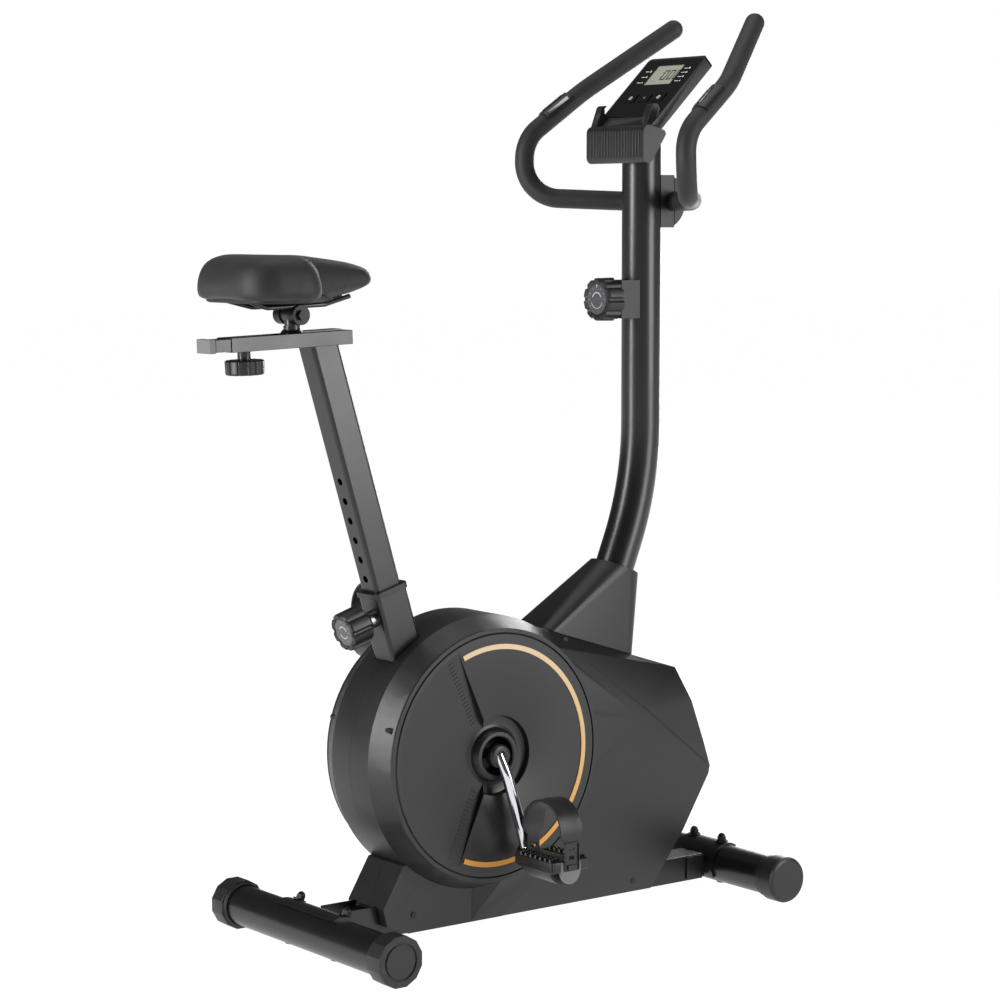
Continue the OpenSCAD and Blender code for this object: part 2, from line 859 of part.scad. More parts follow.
frame_beam();
rear_bracket();
front_bracket();
seat_socket();
socket_bush();
front_upright();
main_post();
drive_cradle();
casing(1);  // casing_left
casing(-1);  // casing_right
disc(1);  // disc_left
disc(-1);  // disc_right
ring(1);  // ring_left
ring(-1);  // ring_right
post_boot();
rear_stabiliser();
front_stabiliser();
cap_nuts();
casing_screws();
pin_collar();
tension_housing();
bar_clamp();
clamp_cover();
console_shell();
console_face();
lcd_glass();
drive_belt();
rear_cap(1);  // rear_cap_left
rear_cap(-1);  // rear_cap_right
front_roller(1);  // front_roller_left
front_roller(-1);  // front_roller_right
seat_post();
seat_channel();
seat_slide();
slide_cap();
saddle_stem();
slide_knob();
saddle_clamp();
saddle_rails();
saddle_pan();
saddle_pad();
pull_knob();
crank_axle();
crank(1);  // crank_left
crank(-1);  // crank_right
drive_pulley();
pedal(1);  // pedal_left
pedal(-1);  // pedal_right
strap(1);  // strap_left
strap(-1);  // strap_right
flywheel();
magnet_arm();
tension_knob();
handlebar_tube();
foam(1);  // foam_left
foam(-1);  // foam_right
pulse_sensors();
button(1);  // button_left
button(0);  // button_middle
button(-1);  // button_right
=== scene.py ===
import json
import math
import bpy
import bmesh
from mathutils import Matrix, Vector
from mathutils.bvhtree import BVHTree


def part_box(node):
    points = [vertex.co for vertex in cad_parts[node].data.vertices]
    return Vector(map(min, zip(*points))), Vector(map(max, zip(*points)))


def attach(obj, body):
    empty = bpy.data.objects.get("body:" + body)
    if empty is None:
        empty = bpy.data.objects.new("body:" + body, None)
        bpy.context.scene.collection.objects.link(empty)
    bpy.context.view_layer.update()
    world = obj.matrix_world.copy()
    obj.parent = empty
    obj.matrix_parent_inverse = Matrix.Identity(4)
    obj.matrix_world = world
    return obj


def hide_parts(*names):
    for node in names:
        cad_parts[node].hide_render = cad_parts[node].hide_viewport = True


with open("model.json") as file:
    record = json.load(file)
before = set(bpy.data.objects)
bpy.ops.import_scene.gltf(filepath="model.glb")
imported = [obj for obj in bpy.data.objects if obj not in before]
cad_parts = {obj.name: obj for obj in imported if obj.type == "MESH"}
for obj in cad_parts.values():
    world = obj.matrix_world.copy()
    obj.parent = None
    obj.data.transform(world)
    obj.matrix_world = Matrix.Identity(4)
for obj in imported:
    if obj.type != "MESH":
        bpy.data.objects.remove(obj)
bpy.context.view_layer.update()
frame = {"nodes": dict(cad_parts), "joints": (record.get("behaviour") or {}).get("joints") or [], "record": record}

nodes = frame["nodes"]
joints = {joint["name"]: joint for joint in frame["joints"]}
bodyOf = {}
for bodyName, members in frame["record"]["behaviour"]["bodies"].items():
    for member in members:
        bodyOf[member] = bodyName
slotOf = {}
for part in frame["record"]["subparts"]:
    slotOf[part["node"]] = part["material_slot"]
crankAt = Vector(joints["crank_spin"]["pos_m"])
mm = 0.001
print("frame loaded,", len(nodes), "nodes")


# small helpers

def linear(hexText):  # sRGB hex to linear
    values = []
    for i in (0, 2, 4):
        value = int(hexText[i:i + 2], 16) / 255
        values.append(value / 12.92 if value <= 0.04045 else ((value + 0.055) / 1.055) ** 2.4)
    return (*values, 1)


def addNode(tree, kind, settings=None, links=None):
    node = tree.nodes.new(kind)
    for key, value in (settings or {}).items():
        if hasattr(node, key):
            setattr(node, key, value)
        else:
            node.inputs[key].default_value = value
    for key, socket in (links or {}).items():
        tree.links.new(socket, node.inputs[key])
    return node


def toMetres(bm):
    bmesh.ops.scale(bm, vec=(mm, mm, mm), verts=bm.verts)


def toAxes(bm, origin, xAxis, yAxis, zAxis):  # from millimetres on the shape's own axes to the object's frame
    toMetres(bm)
    turn = Matrix((xAxis, yAxis, zAxis)).transposed().to_4x4()
    turn.translation = Vector(origin)
    bmesh.ops.transform(bm, matrix=turn, verts=bm.verts)


def makePiece(name, bm, material, body, replaced=(), smoothAngle=35):
    bmesh.ops.remove_doubles(bm, verts=bm.verts, dist=1e-6)
    bmesh.ops.recalc_face_normals(bm, faces=bm.faces)
    mesh = bpy.data.meshes.new(name)
    bm.to_mesh(mesh)
    bm.free()
    piece = bpy.data.objects.new(name, mesh)
    bpy.context.scene.collection.objects.link(piece)
    mesh.shade_smooth()
    mesh.set_sharp_from_angle(angle=math.radians(smoothAngle))
    mesh.materials.append(material)
    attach(piece, body)
    if replaced:
        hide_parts(*replaced)
    return piece


def roundEdges(bm, width, segments=2, angle=30):
    sharp = [e for e in bm.edges if e.is_manifold and e.calc_face_angle(0) > math.radians(angle)]
    bmesh.ops.bevel(bm, geom=sharp, offset=width, offset_type="OFFSET", segments=segments, profile=0.5,
                    affect="EDGES", clamp_overlap=True, material=-1)


def addBox(bm, low, high):  # a box from corner to corner, returns its vertices
    made = bmesh.ops.create_cube(bm, size=1)["verts"]
    middle = (Vector(low) + Vector(high)) / 2
    size = Vector(high) - Vector(low)
    bmesh.ops.scale(bm, vec=size, verts=made)
    bmesh.ops.translate(bm, vec=middle, verts=made)
    return made


def addSpin(bm, profile, steps=96, start=0.0, angle=2 * math.pi):  # profile is (radius, height) round +Z
    made = [bm.verts.new((r * math.cos(start), r * math.sin(start), h)) for r, h in profile]
    edges = [bm.edges.new(pair) for pair in zip(made, made[1:])]
    whole = abs(angle - 2 * math.pi) < 1e-6
    return bmesh.ops.spin(bm, geom=made + edges, cent=(0, 0, 0), axis=(0, 0, 1), angle=angle, steps=steps,
                          use_merge=whole)


def extruded(bm, faces):  # doubles the faces in place, returns the new vertices and faces
    made = bmesh.ops.extrude_face_region(bm, geom=faces)["geom"]
    return ([g for g in made if isinstance(g, bmesh.types.BMVert)],
            [g for g in made if isinstance(g, bmesh.types.BMFace)])


def wrap(bm, points):  # a tight skin round the points, the ones inside it dropped
    hull = bmesh.ops.convex_hull(bm, input=points)
    loose = [g for g in hull["geom_interior"] + hull["geom_unused"] if isinstance(g, bmesh.types.BMVert)]
    bmesh.ops.delete(bm, geom=loose, context="VERTS")


def addRing(bm, radius, x, y, z):
    ring = bmesh.ops.create_circle(bm, cap_ends=False, radius=radius, segments=32)["verts"]
    bmesh.ops.translate(bm, vec=(x, y, z), verts=ring)
    return ring


# materials

def surfaceMaterial(name, base, roughness, grainMm=0.8, bump=0.1, mottleMm=60, mottle=0.12, spread=0.05,
                    grain="noise", **sockets):
    material = bpy.data.materials.new(name)
    material.use_nodes = True
    tree = material.node_tree
    tree.nodes.clear()
    out = addNode(tree, "ShaderNodeOutputMaterial")
    shader = addNode(tree, "ShaderNodeBsdfPrincipled")
    for key, value in sockets.items():
        shader.inputs[key.replace("_", " ")].default_value = value
    tree.links.new(shader.outputs["BSDF"], out.inputs["Surface"])
    place = addNode(tree, "ShaderNodeTexCoord").outputs["Object"]
    cloudy = addNode(tree, "ShaderNodeTexNoise", {"Scale": 1000 / mottleMm, "Detail": 4}, {"Vector": place})
    if grain == "cells":  # leather and pressed grains are little cushions with creases between
        fine = addNode(tree, "ShaderNodeTexVoronoi", {"Scale": 1000 / grainMm, "feature": "F1"},
                       {"Vector": place})
        height = fine.outputs["Distance"]
    else:
        fine = addNode(tree, "ShaderNodeTexNoise", {"Scale": 1000 / grainMm, "Detail": 2}, {"Vector": place})
        height = fine.outputs["Fac"]
    dark = tuple(c * (1 - mottle) for c in linear(base)[:3]) + (1,)
    light = tuple(min(1, c * (1 + mottle)) for c in linear(base)[:3]) + (1,)
    tone = addNode(tree, "ShaderNodeMix", {"data_type": "RGBA"}, {"Factor": cloudy.outputs["Fac"]})
    tone.inputs[6].default_value = dark
    tone.inputs[7].default_value = light
    tree.links.new(tone.outputs[2], shader.inputs["Base Color"])
    rough = addNode(tree, "ShaderNodeMapRange", {"To Min": roughness - spread, "To Max": roughness + spread},
                    {"Value": cloudy.outputs["Fac"]})
    tree.links.new(rough.outputs["Result"], shader.inputs["Roughness"])
    raised = addNode(tree, "ShaderNodeBump", {"Strength": bump, "Distance": 0.25 * grainMm * mm},
                     {"Height": height})
    tree.links.new(raised.outputs["Normal"], shader.inputs["Normal"])
    return material


# Polyester powder coat, sprayed on steel and baked: satin, with a faint orange peel
powderCoat = surfaceMaterial("powderCoatedSteel", "0E0E10", 0.3, grainMm=2.2, bump=0.12,
                             Specular_IOR_Level=0.55)
# ABS moulded against spark-eroded steel: even charcoal, fine grain, broad soft highlights
mouldedAbs = surfaceMaterial("mouldedAbs", "171719", 0.43, grainMm=1.1, bump=0.2,
                             Specular_IOR_Level=0.5)
# Smooth-moulded ABS of the side discs, a little glossier than the casing
discAbs = surfaceMaterial("satinAbsDisc", "1B1B1D", 0.38, grainMm=0.9, bump=0.14)
# Glass-filled nylon, injection moulded: near black with faint flow mottling
mouldedNylon = surfaceMaterial("mouldedNylon", "151516", 0.4, grainMm=1.0, bump=0.18, mottleMm=18, mottle=0.2)
# Coarse polypropylene under the saddle
coarsePp = surfaceMaterial("coarsePolypropylene", "0D0D0E", 0.62, grainMm=2.4, bump=0.7)
# Nitrile foam tube, extruded: dull, with tiny closed cells
nitrileFoam = surfaceMaterial("nitrileFoam", "111112", 0.62, grainMm=1.3, bump=0.4, mottleMm=25,
                             Sheen_Weight=0.08)
# Polyurethane-coated cover, embossed with a fine hide grain
coatedCover = surfaceMaterial("polyurethaneCover", "0D0D0E", 0.6, grainMm=1.5, bump=0.22, grain="cells",
                              Sheen_Weight=0.06)
# Chrome plate over a bent steel rod, polished: sharp reflections, faint buffing haze
polishedChrome = surfaceMaterial("polishedChrome", "DADCE0", 0.1, grainMm=3, bump=0.03, mottle=0.03,
                                 spread=0.03, Metallic=1.0)
# Bright zinc plate on pressed steel: soft metal with cloudy patches
zincPlate = surfaceMaterial("zincPlatedSteel", "8C8E92", 0.34, grainMm=1.5, bump=0.1, mottleMm=8,
                            Metallic=1.0)
# Black oxide on steel screws
blackOxide = surfaceMaterial("blackOxideSteel", "17171A", 0.38, grainMm=1.0, bump=0.15, mottleMm=6,
                             Metallic=0.6)
# Grey cast iron of the flywheel, turned and left dull
castIron = surfaceMaterial("turnedCastIron", "4A4A4C", 0.5, grainMm=1.2, bump=0.5, mottleMm=12, Metallic=0.9)
# Acrylic console front, printed black on the back: glossy
printedAcrylic = surfaceMaterial("printedAcrylic", "09090A", 0.16, grainMm=6, bump=0.03, mottle=0.06,
                                 spread=0.03, Coat_Weight=0.3)
# Polyethylene end plug, grey
greyPlug = surfaceMaterial("polyethylenePlug", "6A6A6D", 0.5, grainMm=1.0, bump=0.2)
# Soft vinyl of the pedal straps and rubber of the belt
softVinyl = surfaceMaterial("softVinyl", "141415", 0.45, grainMm=1.2, bump=0.25, mottleMm=14)
# Grey-green liquid crystal window behind clear acrylic
crystalWindow = surfaceMaterial("liquidCrystalWindow", "A5A798", 0.22, grainMm=2, bump=0.02, mottle=0.05,
                                spread=0.02, Coat_Weight=0.4)
crystalInk = surfaceMaterial("liquidCrystalInk", "2A2C28", 0.35, bump=0.02)
whiteInk = surfaceMaterial("screenPrintedInk", "DCDCDA", 0.5, grainMm=0.6, bump=0.06, mottle=0.05)
# Brushed polycarbonate label pressed into a knob's face: dark grey, a little streaky
labelPlate = surfaceMaterial("polycarbonateLabel", "48484A", 0.32, grainMm=1.2, bump=0.08, mottleMm=10)
greyInk = surfaceMaterial("tampoPrintedInk", "B4B4B5", 0.5, grainMm=0.6, bump=0.06, mottle=0.08)
padSteel = surfaceMaterial("platedContactSteel", "9A9A9C", 0.28, grainMm=2, bump=0.05, mottleMm=15,
                           Metallic=1.0)


def ringMaterial(low, high):  # metallic foil ring: deeper amber at the bottom, pale gold at the top
    material = surfaceMaterial("goldFoilRing", "E5B75C", 0.36, grainMm=0.8, bump=0.08)
    tree = material.node_tree
    shader = next(n for n in tree.nodes if n.type == "BSDF_PRINCIPLED")
    place = addNode(tree, "ShaderNodeTexCoord").outputs["Object"]
    split = addNode(tree, "ShaderNodeSeparateXYZ", links={"Vector": place})
    upward = addNode(tree, "ShaderNodeMapRange", {"From Min": low, "From Max": high},
                     {"Value": split.outputs["Z"]})
    ramp = addNode(tree, "ShaderNodeValToRGB", links={"Fac": upward.outputs["Result"]})
    ramp.color_ramp.elements[0].color = linear("DC9420")
    ramp.color_ramp.elements[1].color = linear("DBC09A")
    middle = ramp.color_ramp.elements.new(0.45)
    middle.color = linear("D6AC6C")
    tree.links.new(ramp.outputs["Color"], shader.inputs["Base Color"])
    return material


goldRing = ringMaterial(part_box("ring_right")[0].z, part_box("ring_right")[1].z)

materialOfSlot = {
    "frame_paint": powderCoat, "slide_paint": powderCoat, "casing_plastic": mouldedAbs, "ring_gold": goldRing,
    "cap_plastic": mouldedAbs, "fastener_zinc": zincPlate, "fastener_black": blackOxide,
    "knob_plastic": mouldedNylon, "strap_rubber": softVinyl, "console_black": printedAcrylic,
    "lcd": crystalWindow, "end_plug_grey": greyPlug, "saddle_cover": coatedCover,
    "crank_chrome": polishedChrome,
    "flywheel_iron": castIron, "foam": nitrileFoam, "sensor_steel": padSteel}
for nodeName, node in nodes.items():
    node.data.materials.clear()
    node.data.materials.append(materialOfSlot[slotOf[nodeName]])
for nodeName in ("saddle_pan", "drive_pulley"):
    nodes[nodeName].data.materials[0] = coarsePp
print("materials on", len(nodes), "nodes")


# moulded and pressed parts, their edges rounded

softenedParts = {
    "casing_left": 2.2, "casing_right": 2.2, "post_boot": 1.6, "tension_housing": 1.5, "clamp_cover": 2.0,
    "console_shell": 1.6, "seat_channel": 1.2, "slide_cap": 0.8, "socket_bush": 1.2, "rear_cap_left": 1.4,
    "rear_cap_right": 1.4, "frame_beam": 1.5, "bar_clamp": 1.2, "console_face": 0.25}


def softenPart(nodeName, width):
    bm = bmesh.new()
    bm.from_mesh(nodes[nodeName].data)
    bmesh.ops.remove_doubles(bm, verts=bm.verts, dist=0.02 * mm)
    bmesh.ops.dissolve_limit(bm, angle_limit=math.radians(1.5), verts=bm.verts, edges=bm.edges,
                             use_dissolve_boundaries=False)
    piece = makePiece(nodeName + "_shell", bm, nodes[nodeName].data.materials[0], bodyOf[nodeName],
                      [nodeName], smoothAngle=40)
    bevel = piece.modifiers.new("roundedEdges", "BEVEL")
    bevel.width = width * mm
    bevel.segments = 2
    bevel.limit_method = "ANGLE"
    bevel.angle_limit = math.radians(24)
    bevel.use_clamp_overlap = True
    bevel.harden_normals = True


for nodeName, width in softenedParts.items():
    softenPart(nodeName, width)
print("edges rounded on", len(softenedParts), "parts")


# side discs

disc = {"sides": 160, "outer": 180.7, "rim": 173, "hubOut": 59, "well": 45, "hub": 28, "level": 84.2,
        "wellLevel": 73, "lineAngle": 114, "edge": 1.5, "thick": 4, "slices": 8,
        "ticks": 18, "tickLength": 8.5, "tickHalf": 0.6, "tickTop": 0.9, "ticksFrom": 62, "ticksSpan": 103,
        "tickTurn": 3.2, "tickShift": 5.5}


def makeDisc(side):
    # made round +Z with its outside up, angle 0 pointing forward, then laid on the bike's side
    d = disc
    bm = bmesh.new()
    line = math.radians(d["lineAngle"])
    high, low = d["level"], d["wellLevel"]
    rim = [(d["rim"], high), (d["outer"] - d["edge"], high), (d["outer"], high - d["edge"]),
           (d["outer"], high - d["thick"])]
    addSpin(bm, rim, d["sides"])
    step = d["hubOut"]
    front = [(d["well"], low), (step - 1.5, low), (step - 0.4, low + 0.6), (step, low + 1.6),
             (step, high - 1.4), (step + 0.5, high - 0.4), (step + 1.6, high), (d["rim"], high)]
    steps = int(d["sides"] * 2 * line / (2 * math.pi))
    addSpin(bm, front, steps, -line, 2 * line)
    reach = d["rim"] - d["well"]
    last = d["slices"]
    rear = [(d["well"] + reach * k / last, low + (high - low) * (k / last)) for k in range(last + 1)]
    addSpin(bm, rear, d["sides"] - steps, line, 2 * math.pi - 2 * line)
    for sign in (-1, 1):  # the tapering walls between the dished sector and the flat one
        direction = Vector((math.cos(line), sign * math.sin(line), 0))
        lower = [bm.verts.new(direction * r + Vector((0, 0, h))) for r, h in rear]
        upper = [bm.verts.new(direction * r + Vector((0, 0, high if r > step else low))) for r, h in rear]
        for k in range(last):
            corners = [lower[k], lower[k + 1], upper[k + 1], upper[k]]
            if k == last - 1:
                corners = corners[:3]
            bm.faces.new(corners)
    hub = [(d["hub"], low - 6), (d["hub"], high + 0.4), (d["hub"] + 2, high + 2), (d["hub"] + 7, high + 1.6),
           (d["hub"] + 11, high - 3), (d["well"] - 4, low + 1.5), (d["well"], low)]
    addSpin(bm, hub, 72)
    for sign in (-1, 1):
        for k in range(d["ticks"]):
            r = d["ticksFrom"] + k * d["ticksSpan"] / (d["ticks"] - 1)
            share = (r - d["well"]) / reach
            height = low + (high - low) * share
            half = d["tickHalf"]
            tick = addBox(bm, (-half, 0, -half), (half, d["tickLength"], d["tickTop"]))
            angle = line + math.radians(d["tickTurn"]) + d["tickShift"] / r
            turn = Matrix.Rotation(sign * angle, 4, "Z") @ Matrix.Translation((r, 0, height))
            if sign < 0:
                turn = turn @ Matrix.Translation((0, -d["tickLength"], 0))
            bmesh.ops.transform(bm, matrix=turn, verts=tick)
    toMetres(bm)
    for v in bm.verts:  # height becomes sideways, the disc's second axis becomes up
        v.co = Vector((v.co.x, side * v.co.z, v.co.y)) + crankAt
    name = "left" if side > 0 else "right"
    makePiece("side_disc_" + name, bm, discAbs, "frame", ["disc_" + name], 40)


for side in (-1, 1):
    makeDisc(side)
print("side discs done")


# saddle

# each circle: x, y, radius, underside, top; each tuck: share of the height, how much narrower there
saddle = {"lobes": [(-408, 48, 50, 944, 1003), (-374, 58, 44, 944, 1002)],
          "nose": [(-362, 0, 62, 945, 1002), (-229, 0, 27, 962, 989)],
          "tucks": [(0, 3), (0.06, 0), (0.25, 0), (0.5, 2), (0.75, 8), (0.9, 16), (1, 32)],
          "fullRadius": 44, "leastRadius": 4, "low": 944, "voxelMm": 5, "pressure": 4, "frames": 14,
          "cap": 0.004}
# each circle: x, y, radius; each level: height, how much narrower there
saddleBase = {"circles": [(-408, 48, 34), (-408, -48, 34), (-374, 58, 28), (-374, -58, 28), (-300, 0, 26)],
              "levels": [(940, 4), (942, 0), (949, 0)]}


def saddleBlank():
    bm = bmesh.new()
    lobes = [(x, s * y, *rest) for x, y, *rest in saddle["lobes"] for s in (-1, 1)]
    for circles in (lobes, saddle["nose"]):
        points = []
        for x, y, r, low, high in circles:
            for share, tuck in saddle["tucks"]:
                radius = max(saddle["leastRadius"], r - tuck * min(1, r / saddle["fullRadius"]))
                points += addRing(bm, radius, x, y, low + (high - low) * share)
        wrap(bm, points)
    toMetres(bm)
    return bm


def applyModifiers(piece):
    bpy.context.view_layer.update()
    made = bpy.data.meshes.new_from_object(piece.evaluated_get(bpy.context.evaluated_depsgraph_get()))
    piece.modifiers.clear()
    piece.data = made


def relax(piece, rounds, factor, lowest=None):  # evens the surface out, flat where it may go no lower
    bm = bmesh.new()
    bm.from_mesh(piece.data)
    if lowest is not None:
        for v in bm.verts:
            v.co.z = max(v.co.z, lowest)
    for i in range(rounds):
        bmesh.ops.smooth_vert(bm, verts=bm.verts, factor=factor, use_axis_x=True, use_axis_y=True,
                              use_axis_z=True)
    bm.to_mesh(piece.data)
    bm.free()


def stuff(piece):  # the foam presses the cover outwards, by no more than the cap
    rest = [v.co.copy() for v in piece.data.vertices]
    cloth = piece.modifiers.new("stuffing", "CLOTH")
    cloth.settings.use_pressure = True
    cloth.settings.uniform_pressure_force = saddle["pressure"]
    cloth.settings.effector_weights.gravity = 0
    for frameNumber in range(1, saddle["frames"] + 1):
        bpy.context.scene.frame_set(frameNumber)
    applyModifiers(piece)
    bpy.context.scene.frame_set(1)
    for v, start in zip(piece.data.vertices, rest):
        moved = v.co - start
        if moved.length > saddle["cap"]:
            v.co = start + moved * (saddle["cap"] / moved.length)


def makeCover():
    cover = makePiece("saddle_cover", saddleBlank(), coatedCover, "saddle", ["saddle_pad"], 60)
    remesh = cover.modifiers.new("evenMesh", "REMESH")
    remesh.mode = "VOXEL"
    remesh.voxel_size = saddle["voxelMm"] * mm
    applyModifiers(cover)
    relax(cover, 6, 0.5)
    stuff(cover)
    relax(cover, 3, 0.4, saddle["low"] * mm)  # flat where the foam is stapled to the base
    cover.data.materials.clear()
    cover.data.materials.append(coatedCover)
    cover.data.shade_smooth()
    finer = cover.modifiers.new("smoothCover", "SUBSURF")
    finer.levels = 1
    finer.render_levels = 1
    return cover


def makeSaddleBase():  # moulded plate under the foam, short of the nose
    bm = bmesh.new()
    points = []
    for x, y, r in saddleBase["circles"]:
        for level, shrink in saddleBase["levels"]:
            points += addRing(bm, r - shrink, x, y, level)
    wrap(bm, points)
    toMetres(bm)
    makePiece("saddle_base", bm, coarsePp, "saddle", ["saddle_pan"], 30)


cover = makeCover()
makeSaddleBase()
print("saddle cover done,", len(cover.data.vertices), "points")


# hand knobs

tensionKnob = {"radius": 33, "height": 31, "lobes": 10, "cut": 3.4}
pullKnob = {"radius": 29, "height": 35, "lobes": 8, "cut": 4.2}
slideKnob = {"radius": 27.7, "height": 20.5, "lobes": 14, "cut": 2.2}
notchFrom = 0.35  # finger notches are cut where each wave round the rim is above this
labelShare = 0.7  # radius of a knob's label, as a share of the knob's
# each arc: radius, width, start, sweep
tensionMarks = {"arcs": [(10.5, 1.8, 20, 140), (13.5, 1.0, 200, 140)], "ticks": 9, "tickRadius": 18,
                "tickWidth": 2, "tickFrom": 210, "tickStep": -30, "tickSweep": 0.05, "dotAt": 21.5}
pullMarks = {"arcs": [(9, 1.3, 20, 130), (9, 1.3, 200, 130)], "ticks": 12, "tickRadius": 15,
             "tickWidth": 1.4, "tickFrom": 0, "tickStep": 30, "tickSweep": 0.06}


def addLobedKnob(bm, radius, height, lobes, cut):  # along +Z from 0, its face at the top
    around = lobes * 14
    rim = bmesh.ops.create_circle(bm, cap_ends=True, radius=radius, segments=around)["verts"]
    for v in rim:
        angle = math.atan2(v.co.y, v.co.x)
        wave = math.cos(lobes * angle)
        dip = max(0, (wave - notchFrom) / (1 - notchFrom)) ** 0.6
        v.co *= (radius - cut * dip) / radius
    face = rim[0].link_faces[0]
    levels = [(0, 1.0), (1.5, 1.0), (height - 3, 0.985), (height - 1.2, 0.965), (height, 0.92)]
    before = 0
    size = 0.94
    bmesh.ops.scale(bm, vec=(size, size, 1), verts=rim)
    for level, share in levels[1:]:
        tops, faces = extruded(bm, [face])
        face = faces[0]
        bmesh.ops.translate(bm, vec=(0, 0, level - before), verts=tops)
        bmesh.ops.scale(bm, vec=(share / size, share / size, 1), verts=tops)
        before = level
        size = share
    bmesh.ops.inset_region(bm, faces=[face], thickness=radius * 0.1, depth=0)
    bmesh.ops.inset_region(bm, faces=[face], thickness=0.8, depth=-1.2)
    for v in face.verts:  # the printed label inside the lip is round
        angle = math.atan2(v.co.y, v.co.x)
        v.co.x = radius * 0.72 * math.cos(angle)
        v.co.y = radius * 0.72 * math.sin(angle)
    return height - 1.2


def addArc(bm, radius, width, level, start, angle, thick=0.35):  # a printed arc, a hair proud
    profile = [(radius - width / 2, level - thick), (radius - width / 2, level + thick),
               (radius + width / 2, level + thick), (radius + width / 2, level - thick),
               (radius - width / 2, level - thick)]
    steps = max(2, int(abs(angle) / 0.09))
    addSpin(bm, profile, steps, start, angle)


def addMarks(bm, level, marks):  # arcs, graduation ticks and, on a dial, a pointer dot
    for radius, width, start, sweep in marks["arcs"]:
        addArc(bm, radius, width, level, math.radians(start), math.radians(sweep))
    for k in range(marks["ticks"]):
        angle = math.radians(marks["tickFrom"] + k * marks["tickStep"])
        addArc(bm, marks["tickRadius"], marks["tickWidth"], level, angle, marks["tickSweep"])
    if "dotAt" in marks:
        dot = bmesh.ops.create_cone(bm, cap_ends=True, segments=20, radius1=1.5, radius2=1.5, depth=0.7)["verts"]
        bmesh.ops.translate(bm, vec=(0, marks["dotAt"], level), verts=dot)


def makeKnob(nodeName, values, origin, axis, upward, marks=None):
    zAxis = Vector(axis).normalized()
    yAxis = (Vector(upward) - zAxis * Vector(upward).dot(zAxis)).normalized()
    xAxis = yAxis.cross(zAxis)
    bm = bmesh.new()
    level = addLobedKnob(bm, **values)
    stem = bmesh.ops.create_cone(bm, cap_ends=True, segments=32, radius1=7, radius2=7, depth=12)["verts"]
    bmesh.ops.translate(bm, vec=(0, 0, -5), verts=stem)
    toAxes(bm, origin, xAxis, yAxis, zAxis)
    makePiece(nodeName + "_grip", bm, mouldedNylon, bodyOf[nodeName], [nodeName], 38)
    if marks:
        bm = bmesh.new()  # thin label that the marks are printed on
        reach = values["radius"] * labelShare
        addSpin(bm, [(0, level - 0.3), (reach, level - 0.3), (reach, level + 0.15), (0, level + 0.15)], 48)
        toAxes(bm, origin, xAxis, yAxis, zAxis)
        makePiece(nodeName + "_label", bm, labelPlate, bodyOf[nodeName], smoothAngle=30)
        bm = bmesh.new()
        addMarks(bm, level, marks)
        toAxes(bm, origin, xAxis, yAxis, zAxis)
        makePiece(nodeName + "_print", bm, greyInk, bodyOf[nodeName], smoothAngle=30)


tension = joints["tension_turn"]
makeKnob("tension_knob", tensionKnob, tension["pos_m"], (-1, 0, 0), (0, 0, 1), tensionMarks)
pull = joints["pull_pin_slide"]
pullAxis = Vector(pull["axis"])
postAxis = Vector(joints["seat_height"]["axis"])
postAt = Vector((-0.2394, 0, 0.7))  # a point on the post's axis
pinDown, pinOut = 0.222, 0.0475  # from there to the knob's foot, along the post and along the pin
pinAt = postAt - postAxis * pinDown + pullAxis * pinOut
makeKnob("pull_knob", pullKnob, pinAt, pullAxis, postAxis, pullMarks)
slide = joints["slide_knob_turn"]
slideAxis = Vector(slide["axis"])
channelGap = 0.0075  # the knob stands this close under the channel
makeKnob("slide_knob", slideKnob, Vector(slide["pos_m"]) + slideAxis * channelGap, -slideAxis, (1, 0, 0))
print("knobs done")


# dark caps over the crank bosses, with the chrome rod coming out of them

crankCap = {"radius": 18, "inner": 80.5, "outer": 94.5}
for side, name in ((1, "left"), (-1, "right")):
    bm = bmesh.new()
    c = crankCap
    addSpin(bm, [(0, c["inner"]), (c["radius"], c["inner"]), (c["radius"], c["outer"] - 4),
                 (c["radius"] - 1.2, c["outer"] - 1.4), (c["radius"] - 4, c["outer"]), (8, c["outer"]),
                 (7, c["outer"] - 1), (0, c["outer"] - 1)], 64)
    toAxes(bm, crankAt, (1, 0, 0), (0, 0, side), (0, side, 0))
    makePiece("crank_cap_" + name, bm, mouldedNylon, "crankset", smoothAngle=40)
print("crank caps done")


# pedals and straps

pedal = {"sideways": 0.172, "width": 88, "depth": 68, "height": 20, "bar": 15, "axle": 9,
         "studs": 7, "studRows": 3, "rowPitch": 4.8, "weightRadius": 31, "weightTop": -8,
         "cheekRadius": 19, "cheekTall": 1.25, "cheekDrop": 4, "cheekTop": 6}
strap = {"end": 22, "top": 40, "thick": 2.6, "arch": 45, "drop": 8, "gap": 1.9, "rows": 90, "tailShare": 0.72,
         "widenOver": 14, "ridge": 0.9, "column": 0.42, "holeEvery": 5, "holeInset": 5}
turnedUp = Matrix.Rotation(math.radians(90), 4, "X")  # from flat to facing along Y


def addSlab(bm, outline, near, far):  # the outline, turned to face along Y, drawn out between two places
    bmesh.ops.transform(bm, matrix=turnedUp, verts=outline)
    front = extruded(bm, [outline[0].link_faces[0]])[0]
    bmesh.ops.translate(bm, vec=(0, near, 0), verts=outline)
    bmesh.ops.translate(bm, vec=(0, far, 0), verts=front)


